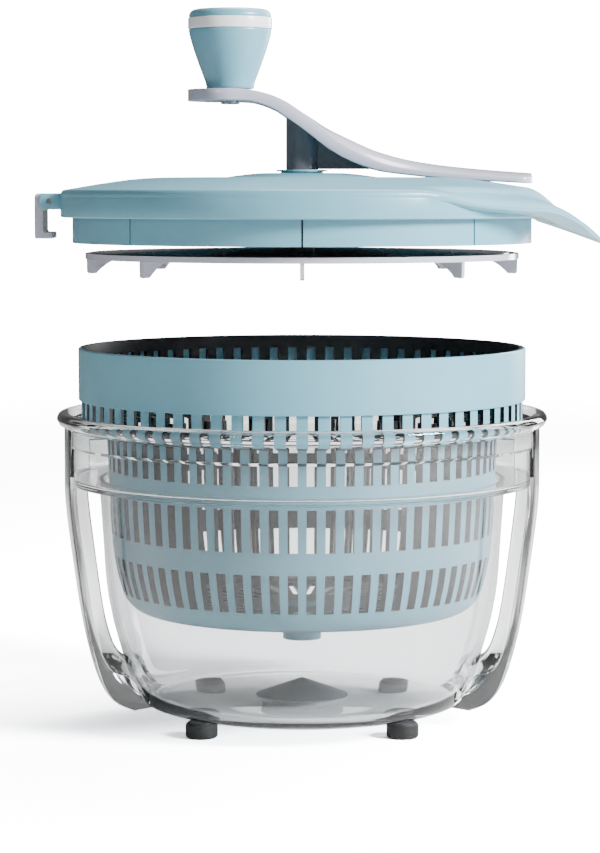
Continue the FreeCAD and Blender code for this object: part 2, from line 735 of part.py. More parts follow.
def arm_plan():
    """The arm seen from above: a round pad under the knob, a waist at the post and a broad tail."""
    half = dim("arm_half_width")
    pad = dim("knob_offset")
    low, high = 300.0, 70.0
    side = [(pad, half), (-15.0, 22.0), (15.0, 19.5), (50.0, 21.0), (90.0, 24.0), (118.0, 25.0)]
    upper = Part.BSplineCurve()
    upper.interpolate([Vector(x, y, low) for x, y in side])
    lower = Part.BSplineCurve()
    lower.interpolate([Vector(x, -y, low) for x, y in side])
    pad_end = Part.Arc(Vector(pad, half, low), Vector(pad - half, 0, low), Vector(pad, -half, low))
    tail_end = Part.Arc(Vector(118.0, 25.0, low), Vector(130.0, 0, low), Vector(118.0, -25.0, low))
    edges = [upper.toShape(), tail_end.toShape(), lower.toShape(), pad_end.toShape()]
    return Part.Face(Part.Wire(Part.__sortEdges__(edges))).extrude(Vector(0, 0, high))


def crank_arm_shape():
    """The S-shaped arm, from the knob's pad down to a tail that lies just above the lid."""
    arm = slab(arm_side(), 30.0).common(arm_plan())
    axle = Part.makeCylinder(dim("knob_axle_radius"), 20.0, Vector(dim("knob_offset"), 0, 345.0))
    return arm.cut(axle)


subpart(shaped("CrankArm", crank_arm_shape()), "crank_arm")


def crank_post_shape():
    """The upright under the arm with its triangular web, standing on the ring gear's square drive."""
    radius = dim("post_radius")
    under = [place for place in ARM_LOWER if -20.0 < place[0] < 45.0]
    foot_level = lid_slope(42.0) + 2.0
    side = straight([under[0], (under[0][0], 312.0), (30.0, 312.0), (under[-1][0], foot_level), under[-1]])
    region = slab(side + [smooth(under)], 12.0)
    blade = slab(side + [smooth(under)], 2.6)
    blade = blade.common(Part.makeBox(60.0, 20.0, 60.0, Vector(0, -10, dim("lid_crown") + 1.6)))
    stem = Part.makeCylinder(radius, 60.0, Vector(0, 0, dim("lid_crown") - 1.0)).common(region)
    lower = Part.makeCylinder(radius, 9.5, Vector(0, 0, 304.2))
    post = stem.fuse([blade, lower]).removeSplitter()
    socket = Part.makeBox(9.1, 9.1, 12.0, Vector(-4.55, -4.55, 303.7))
    screw_way = Part.makeCylinder(2.0, 12.0, Vector(0, 0, 314.0))
    return post.cut([socket, screw_way, crank_arm_shape()])


subpart(shaped("CrankPost", crank_post_shape()), "crank_post")

subpart(
    turned_body("CrankScrew", [
        ("0", "288.4"),
        ("3.9", "288.4"),
        ("3.9", "291.05"),
        ("2", "291.05"),
        ("2", "325"),
        ("0", "325"),
    ]),
    "crank_screw",
)


def centred_on_knob(piece):
    piece.setExpression("Placement.Base.x", "Dims.knob_offset")
    return piece


subpart(
    centred_on_knob(turned_body("KnobAxle", [
        ("0", "351.65"),
        ("5", "351.65"),
        ("5.4", "352.05"),
        ("5.4", "353.25"),
        ("knob_axle_radius", "353.25"),
        ("knob_axle_radius", "knob_low + 31"),
        ("knob_axle_radius - 0.5", "knob_low + 31.6"),
        ("0", "knob_low + 31.6"),
    ])),
    "knob_axle",
)

subpart(
    centred_on_knob(turned_body("KnobClip", [
        ("knob_axle_radius", "knob_low + 29.2"),
        ("6.5", "knob_low + 29.2"),
        ("6.5", "knob_low + 30.2"),
        ("knob_axle_radius", "knob_low + 30.2"),
    ])),
    "knob_clip",
)


def knob_grip_shape():
    """The flared grip: narrow at the arm, wide at the top, hollow above for the axle's clip."""
    low = dim("knob_low")
    axle = dim("knob_axle_radius") + RUNNING_GAP
    flare = [(13.6, low + 1.0), (14.2, low + 4.0), (15.9, low + 8.6), (18.1, low + 14.6), (20.6, low + 21.8),
             (22.6, low + 28.6), (23.5, low + 33.4)]
    outline = straight([(axle, low), (13.0, low)])
    outline.append(Part.Arc(at(13.0, low), at(13.45, low + 0.35), at(13.6, low + 1.0)).toShape())
    outline.append(smooth(flare))
    outline += straight([flare[-1], (19.0, low + 33.4), (19.0, low + 39.9), (8.0, low + 39.9), (8.0, low + 28.8),
                         (axle, low + 28.8), (axle, low)])
    return turned(outline)


subpart(centred_on_knob(shaped("KnobGrip", knob_grip_shape())), "knob_grip")

subpart(
    centred_on_knob(turned_body("KnobRing", [
        ("19.05", "knob_low + 33.45"),
        ("23.3", "knob_low + 33.45"),
        ("23.8", "knob_low + 34.0"),
        ("23.8", "knob_low + 39.3"),
        ("23.3", "knob_low + 39.85"),
        ("19.05", "knob_low + 39.85"),
    ])),
    "knob_ring",
)


def knob_cap_shape():
    """The cap on the knob, with a spigot pressed into the grip."""
    low = dim("knob_low") + 39.95
    outline = straight([(0, low - 3.0), (7.9, low - 3.0), (7.9, low), (23.5, low)])
    outline.append(smooth([(23.5, low), (22.9, low + 2.4), (21.0, low + 4.2), (17.5, low + 4.75)]))
    outline.append(smooth([(17.5, low + 4.75), (9.0, low + 4.95), (0.0, low + 5.0)]))
    outline += straight([(0, low + 5.0), (0, low - 3.0)])
    return turned(outline)


subpart(centred_on_knob(shaped("KnobCap", knob_cap_shape())), "knob_cap")

# ---------------------------------------------------------------- checks and files


def write_parts():
    doc.recompute()
    for item in doc.Objects:
        if "Invalid" in item.State or "Error" in item.State:
            raise RuntimeError(f"{item.Label} failed: {item.State}")
    for piece in subparts:
        shape = piece.Shape
        if shape.isNull() or not shape.isValid():
            raise RuntimeError(f"{piece.Label} has no valid shape")
    os.makedirs("parts", exist_ok=True)
    for piece in subparts:
        piece.Shape.exportStep(f"parts/{piece.Label}.step")
        box = piece.Shape.BoundBox
        print(f"{piece.Label:20s} solids {len(piece.Shape.Solids):2d}  volume {piece.Shape.Volume / 1000:8.2f} cm3"
              f"  z {box.ZMin:7.2f} to {box.ZMax:7.2f}  x {box.XMin:7.2f} to {box.XMax:7.2f}")


write_parts()
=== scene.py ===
"""Builds the finish of a hand-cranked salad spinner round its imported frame.

The spinner stands on the floor with its lid and basket lifted. Lengths in the tables are millimetres.
"""

import math

import bmesh
import bpy
from mathutils import Matrix, Vector


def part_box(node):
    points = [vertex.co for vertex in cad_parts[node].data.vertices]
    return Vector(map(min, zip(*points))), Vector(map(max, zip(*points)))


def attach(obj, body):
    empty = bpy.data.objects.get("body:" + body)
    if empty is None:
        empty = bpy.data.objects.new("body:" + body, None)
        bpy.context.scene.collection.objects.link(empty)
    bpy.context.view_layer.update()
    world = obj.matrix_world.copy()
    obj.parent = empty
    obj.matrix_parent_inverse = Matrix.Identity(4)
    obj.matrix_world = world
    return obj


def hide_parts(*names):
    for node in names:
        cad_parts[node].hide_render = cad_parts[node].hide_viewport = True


bl_info = {
    "name": "Salad spinner",
    "version": (1, 0, 0),
    "blender": (4, 5, 0),
    "location": "3D View > Sidebar > Spinner",
    "description": "Adds the bowl, basket, geared lid, crank and stage of a hand-cranked salad spinner",
    "category": "Add Mesh",
}

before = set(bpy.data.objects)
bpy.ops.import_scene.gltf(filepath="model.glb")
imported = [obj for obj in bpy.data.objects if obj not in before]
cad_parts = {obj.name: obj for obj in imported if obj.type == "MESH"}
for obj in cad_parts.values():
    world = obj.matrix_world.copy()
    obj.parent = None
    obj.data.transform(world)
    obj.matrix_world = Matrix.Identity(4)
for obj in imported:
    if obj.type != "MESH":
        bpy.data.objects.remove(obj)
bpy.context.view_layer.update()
MM = 0.001
LID_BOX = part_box("lid_shell")

# ---------------------------------------------------------------- sizes and colours


def linear(hex_code):
    """The linear colour of an sRGB hex value."""
    channels = [int(hex_code[i:i + 2], 16) / 255.0 for i in (1, 3, 5)]
    return tuple(c / 12.92 if c <= 0.04045 else ((c + 0.055) / 1.055) ** 2.4 for c in channels)


def length(name, description, value):
    return bpy.props.FloatProperty(
        name=name, description=description, default=value, subtype="DISTANCE", unit="LENGTH"
    )


def colour(name, description, hex_code):
    return bpy.props.FloatVectorProperty(
        name=name, description=description, default=linear(hex_code), subtype="COLOR", min=0.0, max=1.0
    )


class SpinnerSizes(bpy.types.PropertyGroup):
    """Sizes of the pieces that are modelled here."""

    beak_reach: length("Beak reach", "Tip of the pouring beak from the spin axis", LID_BOX[1].x)
    beak_half_angle: bpy.props.FloatProperty(
        name="Beak half angle", description="Angle from the beak's tip to where it leaves the lid's circle",
        default=math.radians(64.0), subtype="ANGLE", unit="ROTATION",
    )
    lid_radius: length("Lid radius", "Outside of the lid's band", 0.1366)
    arm_crown: length("Arm crown", "Height of the arm's crowned top above its edges", 0.006)
    edge_round: length("Edge rounding", "Radius on the moulded outside edges", 0.0008)
    round_steps: bpy.props.IntProperty(
        name="Steps round", description="Facets round a full turn of the large pieces", default=192, min=48
    )


class SpinnerColours(bpy.types.PropertyGroup):
    """Colours of the plastics."""

    shell: colour("Shell blue", "Lid, basket and knob", "#679fb1")
    # painted shade: the dark colour of the basket's inner faces stands in for the shadow within the basket
    inside: colour("Basket inside", "The faces of the basket that look at the axis", "#141d21")
    arm: colour("Lilac grey", "Crank arm, disc and latch", "#b4b5c2")
    # painted shade: the post and its web are the arm's lilac-grey plastic, and this darker grey stands in for
    # the shade under the arm
    post: colour("Post grey", "Crank post and web", "#5d5e64")
    slate: colour("Slate", "Cone, gear plate and disc cover", "#343c41")
    ring: colour("White", "Ring round the knob", "#eeedf0")
    acetal: colour("Natural acetal", "Gears and pivot cap", "#e6e3d6")
    clear: colour("Clear plastic", "Tint of the bowl", "#eceeef")
    rubber: colour("Black rubber", "Feet", "#0b0c0d")
    floor: colour("Floor", "The pale floor of the stage", "#f2f2f2")


def sizes():
    return bpy.context.scene.spinner_sizes


def colours():
    return bpy.context.scene.spinner_colours


# ---------------------------------------------------------------- outlines


def filleted(corners, steps=5):
    """A closed outline of (radius, height) points from (radius, height, rounding) corners."""
    outline = []
    for i, (across, up, rounding) in enumerate(corners):
        here = Vector((across, up))
        back = Vector(corners[i - 1][:2]) - here
        ahead = Vector(corners[(i + 1) % len(corners)][:2]) - here
        if rounding <= 0.0 or back.length < 1e-6 or ahead.length < 1e-6:
            outline.append((across, up))
            continue
        half = back.angle(ahead) / 2.0
        if half > math.radians(88.0):
            outline.append((across, up))
            continue
        run = min(rounding / math.tan(half), 0.49 * back.length, 0.49 * ahead.length)
        radius = run * math.tan(half)
        start, stop = here + back.normalized() * run, here + ahead.normalized() * run
        centre = here + (back.normalized() + ahead.normalized()).normalized() * (radius / math.sin(half))
        for k in range(steps + 1):
            spoke = (start - centre).slerp(stop - centre, k / steps)
            outline.append(tuple(centre + spoke.normalized() * radius))
    return outline


def curved(table, x):
    """The height of a smooth curve through a table of (x, height) rows."""
    if x <= table[0][0]:
        return table[0][1]
    if x >= table[-1][0]:
        return table[-1][1]
    i = next(k for k in range(len(table) - 1) if table[k + 1][0] >= x)

    def slope(k):
        low, high = table[max(k - 1, 0)], table[min(k + 1, len(table) - 1)]
        return (high[1] - low[1]) / (high[0] - low[0])

    (x0, y0), (x1, y1) = table[i], table[i + 1]
    gap = x1 - x0
    t = (x - x0) / gap
    return (y0 * (2 * t ** 3 - 3 * t ** 2 + 1) + y1 * (3 * t ** 2 - 2 * t ** 3)
            + gap * (slope(i) * (t ** 3 - 2 * t ** 2 + t) + slope(i + 1) * (t ** 3 - t ** 2)))


def smoothed(points, between=5):
    """The points of a smooth line through (radius, height) points that may turn back."""
    line = []
    for i in range(len(points) - 1):
        p = [Vector(points[k][:2]) for k in (max(i - 1, 0), i, i + 1, min(i + 2, len(points) - 1))]
        for k in range(between):
            t = k / between
            square = 2 * p[0] - 5 * p[1] + 4 * p[2] - p[3]
            cube = 3 * p[1] - p[0] - 3 * p[2] + p[3]
            line.append(tuple(0.5 * (2 * p[1] + (p[2] - p[0]) * t + square * t ** 2 + cube * t ** 3)))
    return line + [tuple(points[-1][:2])]


# ---------------------------------------------------------------- meshes


def loop_faces(shape, one, two):
    """Faces between two rings of vertices, either of which may be a single vertex."""
    count = max(len(one), len(two))
    for k in range(count):
        following = (k + 1) % count
        corners = [one[k % len(one)], one[following % len(one)], two[following % len(two)], two[k % len(two)]]
        corners = list(dict.fromkeys(corners))
        if len(corners) > 2:
            shape.faces.new(corners)


def around(angle, radius, height):
    """The point in metres at that angle, and at that radius and height in millimetres."""
    return (radius * math.cos(angle) * MM, radius * math.sin(angle) * MM, height * MM)


def turned(outline, centre=(0.0, 0.0), steps=None):
    """A solid of revolution about a vertical line, from an outline of (radius, height) points."""
    steps = steps or sizes().round_steps
    shape = bmesh.new()
    rings = []
    for radius, height in outline:
        spots = steps if radius > 1e-4 else 1
        rings.append([
            shape.verts.new((
                (centre[0] + radius * math.cos(2 * math.pi * k / steps)) * MM,
                (centre[1] + radius * math.sin(2 * math.pi * k / steps)) * MM,
                height * MM,
            ))
            for k in range(spots)
        ])
    for one, two in zip(rings, rings[1:] + rings[:1]):
        loop_faces(shape, one, two)
    bmesh.ops.recalc_face_normals(shape, faces=shape.faces)
    return shape


def swept_part(outline, middle, spread, steps=14):
    """The part of a turned solid within an angle each side of a direction, with flat ends."""
    shape = bmesh.new()
    rings = []
    for k in range(steps + 1):
        angle = math.radians(middle - spread + 2 * spread * k / steps)
        rings.append([shape.verts.new(around(angle, radius, height)) for radius, height in outline])
    for one, two in zip(rings, rings[1:]):
        loop_faces(shape, one, two)
    for end in (rings[0], rings[-1]):
        shape.faces.new(end)
    bmesh.ops.recalc_face_normals(shape, faces=shape.faces)
    return shape


def lofted(sections):
    """A solid through closed sections of (x, y, z) points, with flat ends."""
    shape = bmesh.new()
    rings = [[shape.verts.new(Vector(p) * MM) for p in section] for section in sections]
    for one, two in zip(rings, rings[1:]):
        loop_faces(shape, one, two)
    for end in (rings[0], rings[-1]):
        shape.faces.new(end)
    bmesh.ops.recalc_face_normals(shape, faces=shape.faces)
    return shape


def bar(outline, half_width, rounding, steps=3):
    """An outline of (x, z) points drawn out on both sides of the XZ plane, with its edges rounded."""
    shape = bmesh.new()
    ends = [
        [shape.verts.new((x * MM, y * MM, z * MM)) for x, z in outline] for y in (-half_width, half_width)
    ]
    loop_faces(shape, *ends)
    for end in ends:
        shape.faces.new(end)
    bmesh.ops.recalc_face_normals(shape, faces=shape.faces)
    sharp = [e for e in shape.edges if e.calc_face_angle(0.0) > math.radians(30.0)]
    bmesh.ops.bevel(shape, geom=sharp, offset=rounding * MM, segments=steps, profile=0.5, affect="EDGES",
                    clamp_overlap=True)
    return shape


def merged(*shapes):
    """One mesh holding the pieces of several."""
    whole = shapes[0]
    for other in shapes[1:]:
        scratch = bpy.data.meshes.new("scratch")
        other.to_mesh(scratch)
        other.free()
        whole.from_mesh(scratch)
        bpy.data.meshes.remove(scratch)
    return whole


def as_object(name, shape, keep_sharp=38.0):
    """An object with that mesh, shaded smooth except where it turns sharply."""
    mesh = bpy.data.meshes.new(name)
    shape.to_mesh(mesh)
    shape.free()
    mesh.polygons.foreach_set("use_smooth", [True] * len(mesh.polygons))
    mesh.set_sharp_from_angle(angle=math.radians(keep_sharp))
    item = bpy.data.objects.new(name, mesh)
    bpy.context.scene.collection.objects.link(item)
    return item


def united(item, others, keep_sharp=38.0):
    """Fuses the others into the item as one closed skin."""
    for other in others:
        fuse = item.modifiers.new("fuse", "BOOLEAN")
        fuse.operation, fuse.solver, fuse.object = "UNION", "EXACT", other
    bpy.context.view_layer.update()
    result = bpy.data.meshes.new_from_object(item.evaluated_get(bpy.context.evaluated_depsgraph_get()))
    item.modifiers.clear()
    item.data = result
    for other in others:
        bpy.data.objects.remove(other)
    result.polygons.foreach_set("use_smooth", [True] * len(result.polygons))
    result.set_sharp_from_angle(angle=math.radians(keep_sharp))
    return item


def placed(item, material, body, stands_for=()):
    """Gives a new piece its material and its body, and hides the plain nodes it stands for."""
    item.data.materials.clear()
    item.data.materials.append(material)
    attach(item, body)
    if stands_for:
        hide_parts(*stands_for)
    return item


def finished(material, *nodes):
    """Gives the frame's own pieces a material."""
    for name in nodes:
        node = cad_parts[name]
        node.data.materials.clear()
        node.data.materials.append(material)


# ---------------------------------------------------------------- materials

# cosines to the outward direction: a face above the first keeps its own colour, one below the second takes
# the painted shade of the basket's inner faces
OUTWARD_FROM = 0.6
INWARD_FROM = 0.2


def add(tree, kind, settings=None, **links):
    """Adds a node, with its properties and socket values set and its inputs linked."""
    node = tree.nodes.new(kind)
    for name, value in (settings or {}).items():
        if hasattr(node, name):
            setattr(node, name, value)
        else:
            node.inputs[name].default_value = value
    for name, source in links.items():
        tree.links.new(source, node.inputs[name.replace("_", " ")])
    return node


def new_material(name):
    """An empty material with its surface node and the object's own coordinates."""
    material = bpy.data.materials.new(name)
    material.use_nodes = True
    tree = material.node_tree
    tree.nodes.clear()
    output = tree.nodes.new("ShaderNodeOutputMaterial")
    place = add(tree, "ShaderNodeTexCoord").outputs["Object"]
    return material, tree, output, place


def per_metre(millimetres):
    """The texture scale whose features are that far apart."""
    return 1000.0 / millimetres


def moulded_surface(tree, place, grain_mm, depth_mm, rough_low, rough_high):
    """Roughness that wanders with the mould's wear, and a fine grain: returns both sockets."""
    wander = add(tree, "ShaderNodeTexNoise", {"Scale": per_metre(45.0), "Detail": 3.0}, Vector=place)
    rough = add(tree, "ShaderNodeMapRange", {"To Min": rough_low, "To Max": rough_high},
                Value=wander.outputs["Fac"])
    grain = add(tree, "ShaderNodeTexNoise", {"Scale": per_metre(grain_mm), "Detail": 2.0}, Vector=place)
    bump = add(tree, "ShaderNodeBump", {"Strength": 0.35, "Distance": depth_mm * MM},
               Height=grain.outputs["Fac"])
    return rough.outputs["Result"], bump.outputs["Normal"]


def uneven(tree, place, rgb, spread, feature_mm):
    """The colour with a faint cloudiness, as pigment gives a moulding: returns its socket."""
    cloud = add(tree, "ShaderNodeTexNoise", {"Scale": per_metre(feature_mm), "Detail": 4.0}, Vector=place)
    ramp = add(tree, "ShaderNodeValToRGB", Fac=cloud.outputs["Fac"])
    for stop, factor, position in zip(ramp.color_ramp.elements, (1.0 - spread, 1.0 + spread), (0.3, 0.7)):
        stop.position = position
        stop.color = (*(min(1.0, c * factor) for c in rgb), 1.0)
    return ramp.outputs["Color"]


def satin_polypropylene(name, rgb, inside=None):
    """Moulded polypropylene from a spark-eroded tool: satin, with a soft broad highlight.

    The grain is drawn 0.9 mm apart, coarser than the real 0.2 mm, so that it shows. Given the painted inner
    shade colour, every face that doesn't look outwards takes it: painted shade standing in for the shadow on
    the basket's inner side.
    """
    material, tree, output, place = new_material(name)
    tint = uneven(tree, place, rgb, 0.035, 38.0)
    if inside is not None:
        # painted shade: how far a face turns from the outward direction sets how much of the painted inner
        # shade colour it takes
        level = add(tree, "ShaderNodeVectorMath", {"operation": "MULTIPLY"})
        tree.links.new(place, level.inputs[0])
        level.inputs[1].default_value = (1.0, 1.0, 0.0)
        outward = add(tree, "ShaderNodeVectorMath", {"operation": "NORMALIZE"})
        tree.links.new(level.outputs["Vector"], outward.inputs[0])
        facing = add(tree, "ShaderNodeVectorMath", {"operation": "DOT_PRODUCT"})
        tree.links.new(outward.outputs["Vector"], facing.inputs[0])
        tree.links.new(add(tree, "ShaderNodeNewGeometry").outputs["True Normal"], facing.inputs[1])
        share = add(tree, "ShaderNodeMapRange",
                    {"From Min": OUTWARD_FROM, "From Max": INWARD_FROM, "To Min": 0.0, "To Max": 1.0},
                    Value=facing.outputs["Value"])
        inner_shade_mix = add(tree, "ShaderNodeMix", {"data_type": "RGBA"})
        tree.links.new(share.outputs["Result"], inner_shade_mix.inputs["Factor"])
        tree.links.new(tint, inner_shade_mix.inputs[6])
        inner_shade_mix.inputs[7].default_value = (*inside, 1.0)
        tint = inner_shade_mix.outputs[2]
    rough, normal = moulded_surface(tree, place, 0.9, 0.02, 0.33, 0.44)
    surface = add(tree, "ShaderNodeBsdfPrincipled",
                  {"IOR": 1.49, "Coat Weight": 0.12, "Coat Roughness": 0.18},
                  Base_Color=tint, Roughness=rough, Normal=normal)
    tree.links.new(surface.outputs["BSDF"], output.inputs["Surface"])
    return material


def glossy_abs(name, rgb, rough_low=0.14, rough_high=0.22):
    """ABS from a polished tool: sharp reflections that swim a little over faint sink ripples 14 mm apart."""
    material, tree, output, place = new_material(name)
    tint = uneven(tree, place, rgb, 0.02, 55.0)
    rough, _ = moulded_surface(tree, place, 2.0, 0.01, rough_low, rough_high)
    ripple = add(tree, "ShaderNodeTexNoise", {"Scale": per_metre(14.0), "Detail": 1.0}, Vector=place)
    bump = add(tree, "ShaderNodeBump", {"Strength": 0.25, "Distance": 0.12 * MM},
               Height=ripple.outputs["Fac"])
    surface = add(tree, "ShaderNodeBsdfPrincipled",
                  {"IOR": 1.54, "Coat Weight": 0.35, "Coat Roughness": 0.06},
                  Base_Color=tint, Roughness=rough, Normal=bump.outputs["Normal"])
    tree.links.new(surface.outputs["BSDF"], output.inputs["Surface"])
    return material


def moulded_slate(name, rgb):
    """Dark talc-filled polypropylene: matt, with a sandy grain drawn 1.2 mm apart so that it shows."""
    material, tree, output, place = new_material(name)
    tint = uneven(tree, place, rgb, 0.08, 22.0)
    rough, normal = moulded_surface(tree, place, 1.2, 0.04, 0.4, 0.55)
    surface = add(tree, "ShaderNodeBsdfPrincipled", {"IOR": 1.49}, Base_Color=tint, Roughness=rough,
                  Normal=normal)
    tree.links.new(surface.outputs["BSDF"], output.inputs["Surface"])
    return material


def clear_san(name, rgb):
    """Clear polished SAN: bends what is behind it, mirrors the softboxes, and lets the lamps through.

    Flow ripples 30 mm apart make the reflections waver, as on a thick moulding.
    """
    material, tree, output, place = new_material(name)
    flow = add(tree, "ShaderNodeTexNoise", {"Scale": per_metre(30.0), "Detail": 1.0}, Vector=place)
    bump = add(tree, "ShaderNodeBump", {"Strength": 0.12, "Distance": 0.15 * MM}, Height=flow.outputs["Fac"])
    cloud = add(tree, "ShaderNodeTexNoise", {"Scale": per_metre(60.0), "Detail": 2.0}, Vector=place)
    rough = add(tree, "ShaderNodeMapRange", {"To Min": 0.0, "To Max": 0.03}, Value=cloud.outputs["Fac"])
    tint = uneven(tree, place, rgb, 0.01, 80.0)
    glass = add(tree, "ShaderNodeBsdfPrincipled", {"IOR": 1.5, "Transmission Weight": 1.0},
                Base_Color=tint, Roughness=rough.outputs["Result"], Normal=bump.outputs["Normal"])
    open_way = add(tree, "ShaderNodeBsdfTransparent", {"Color": (*(c * 0.96 for c in rgb), 1.0)})
    ray = add(tree, "ShaderNodeLightPath")
    either = add(tree, "ShaderNodeMath", {"operation": "MAXIMUM"})
    tree.links.new(ray.outputs["Is Shadow Ray"], either.inputs[0])
    tree.links.new(ray.outputs["Is Diffuse Ray"], either.inputs[1])
    choice = add(tree, "ShaderNodeMixShader", Fac=either.outputs["Value"])
    tree.links.new(glass.outputs["BSDF"], choice.inputs[1])
    tree.links.new(open_way.outputs["BSDF"], choice.inputs[2])
    tree.links.new(choice.outputs["Shader"], output.inputs["Surface"])
    return material


def bright_stainless(name):
    """Turned stainless steel: fine tool lines 0.6 mm apart that draw the highlight out."""
    material, tree, output, place = new_material(name)
    lines = add(tree, "ShaderNodeTexNoise", {"Scale": per_metre(0.6), "Detail": 2.0}, Vector=place)
    rough = add(tree, "ShaderNodeMapRange", {"To Min": 0.18, "To Max": 0.34}, Value=lines.outputs["Fac"])
    tint = uneven(tree, place, linear("#c9c9cb"), 0.04, 6.0)
    surface = add(tree, "ShaderNodeBsdfPrincipled", {"Metallic": 1.0}, Base_Color=tint,
                  Roughness=rough.outputs["Result"])
    tree.links.new(surface.outputs["BSDF"], output.inputs["Surface"])
    return material


def nitrile_rubber(name, rgb):
    """Moulded nitrile rubber: near black and dull, with a pitted skin 0.7 mm apart and a trace of sheen."""
    material, tree, output, place = new_material(name)
    tint = uneven(tree, place, rgb, 0.2, 4.0)
    rough, normal = moulded_surface(tree, place, 0.7, 0.05, 0.5, 0.7)
    surface = add(tree, "ShaderNodeBsdfPrincipled", {"IOR": 1.52, "Sheen Weight": 0.02}, Base_Color=tint,
                  Roughness=rough, Normal=normal)
    tree.links.new(surface.outputs["BSDF"], output.inputs["Surface"])
    return material


def material(name):
    """One of the spinner's materials, made the first time it is asked for."""
    found = bpy.data.materials.get(name)
    if found:
        return found
    c = colours()
    makers = {
        "shell_polypropylene": lambda n: satin_polypropylene(n, c.shell),
        # the basket's material carries painted shade on its inner faces
        "basket_polypropylene_painted_shade": lambda n: satin_polypropylene(n, c.shell, c.inside),
        "lilac_abs": lambda n: glossy_abs(n, c.arm),
        # painted shade: the crank post's darker grey stands in for the shade under the arm
        "post_abs_painted_shade": lambda n: glossy_abs(n, c.post, 0.25, 0.35),
        "white_abs": lambda n: glossy_abs(n, c.ring, 0.2, 0.28),
        # painted shade: the near-black cover stands in for the shadow on the drive disc's top under the lid
        "cover_abs_painted_shade": lambda n: glossy_abs(n, linear("#16181a"), 0.1, 0.16),
        "slate_polypropylene": lambda n: moulded_slate(n, c.slate),
        "natural_acetal": lambda n: moulded_slate(n, c.acetal),
        "clear_san_plastic": lambda n: clear_san(n, c.clear),
        "turned_stainless": bright_stainless,
        "nitrile_rubber": lambda n: nitrile_rubber(n, c.rubber),
    }
    return makers[name](name)


# ---------------------------------------------------------------- bowl

# (radius, height)
WALL_OUTSIDE = [
    (80, 9), (92.6, 13.6), (99.4, 28), (104.6, 45), (108.6, 60), (112, 80), (113.7, 105), (115.4, 132),
]
WALL_INSIDE = [
    (112.9, 136), (111.2, 105), (109.5, 80), (106.1, 60), (102.1, 45), (97, 28.6), (91, 17.6), (80, 13),
]
# (radius, height, rounding)
RIM = [
    (115.4, 137.5, 0.8), (133.0, 137.5, 2.0), (133.0, 159.2, 0.6), (134.5, 160.8, 0.6), (134.5, 170.0, 1.6),
    (138.0, 171.0, 2.4), (140.0, 174.5, 2.4), (138.2, 178.0, 2.6), (132.5, 178.0, 2.0), (131.0, 174.0, 3.0),
    (131.0, 140.0, 2.4), (112.9, 140.0, 1.2),
]
STRAP_OUTSIDE = [
    (135.4, 174), (135.4, 150), (135.0, 126), (130.9, 92), (125.7, 57.7), (118.3, 29), (110.6, 15.4),
    (99.0, 9.4),
]
STRAP_INSIDE = [
    (84.0, 11.0), (92.6, 17.6), (98.2, 25.6), (102.6, 30.0), (108.2, 31.2), (113.0, 34.2), (117.0, 41.5),
    (121.7, 58.5), (126.9, 93.0), (131.0, 126.0), (131.4, 150.0), (131.4, 174.0),
]
STRAP_SPREAD = 17.0


def bowl_outline():
    """The bowl's section: flat floor, swelling wall, ledge, upright drum and rolled rim."""
    outline = [(0, 9)] + smoothed(WALL_OUTSIDE)
    outline += filleted([(*outline[-1], 0.0)] + RIM + [(*WALL_INSIDE[0], 0.0)])[1:-1]
    return outline + smoothed(WALL_INSIDE) + [(0, 13)]


class SPINNER_OT_bowl(bpy.types.Operator):
    """Adds the clear bowl with its strap handles, and finishes its cone and feet"""

    bl_idname = "spinner.bowl"
    bl_label = "Bowl"

    def execute(self, context):
        bowl = as_object("clear_bowl", turned(bowl_outline()))
        straps = []
        outline = smoothed(STRAP_OUTSIDE) + smoothed(STRAP_INSIDE)
        for side, middle in enumerate((0.0, 180.0)):
            strap = swept_part(outline, middle, STRAP_SPREAD)
            rims = [e for e in strap.edges if e.calc_face_angle(0.0) > math.radians(60.0)]
            bmesh.ops.bevel(strap, geom=rims, offset=1.3 * MM, segments=3, profile=0.5, affect="EDGES",
                            clamp_overlap=True)
            straps.append(as_object(f"strap_{side}", strap))
        placed(united(bowl, straps), material("clear_san_plastic"), "bowl",
               ["bowl", "bowl_floor"])
        finished(material("slate_polypropylene"), "pivot_cone")
        finished(material("nitrile_rubber"), "foot_front_left", "foot_front_right", "foot_rear_right",
                 "foot_rear_left")
        return {"FINISHED"}


# ---------------------------------------------------------------- basket


RIB_COUNT = 68
RIB_WIDTH = 2.8
RIB_DEPTH = 5.0
RIB_TAPER = 0.4
RIB_ROOT = 0.5
RIB_FACE = [(100.6, 75.6), (102.1, 80.8), (105.3, 95.0), (107.2, 114.9), (108.5, 140.0), (109.1, 164.0)]


def ribs_shape():
    """The stiffening ribs on the inner face of the wall, one behind each bar between the slots."""
    shape = bmesh.new()
    for i in range(RIB_COUNT):
        turn = Matrix.Rotation(2 * math.pi * i / RIB_COUNT, 3, "Z")
        rings = []
        for face, height in RIB_FACE:
            root, crest = RIB_WIDTH / 2, RIB_WIDTH / 2 - RIB_TAPER
            inner, outer = face - RIB_DEPTH, face + RIB_ROOT
            section = ((outer, -root), (outer, root), (inner, crest), (inner, -crest))
            rings.append([
                shape.verts.new(turn @ Vector((across, side, height)) * MM) for across, side in section
            ])
        for one, two in zip(rings, rings[1:]):
            loop_faces(shape, one, two)
        for end in (rings[0], rings[-1]):
            shape.faces.new(end)
    bmesh.ops.recalc_face_normals(shape, faces=shape.faces)
    return shape


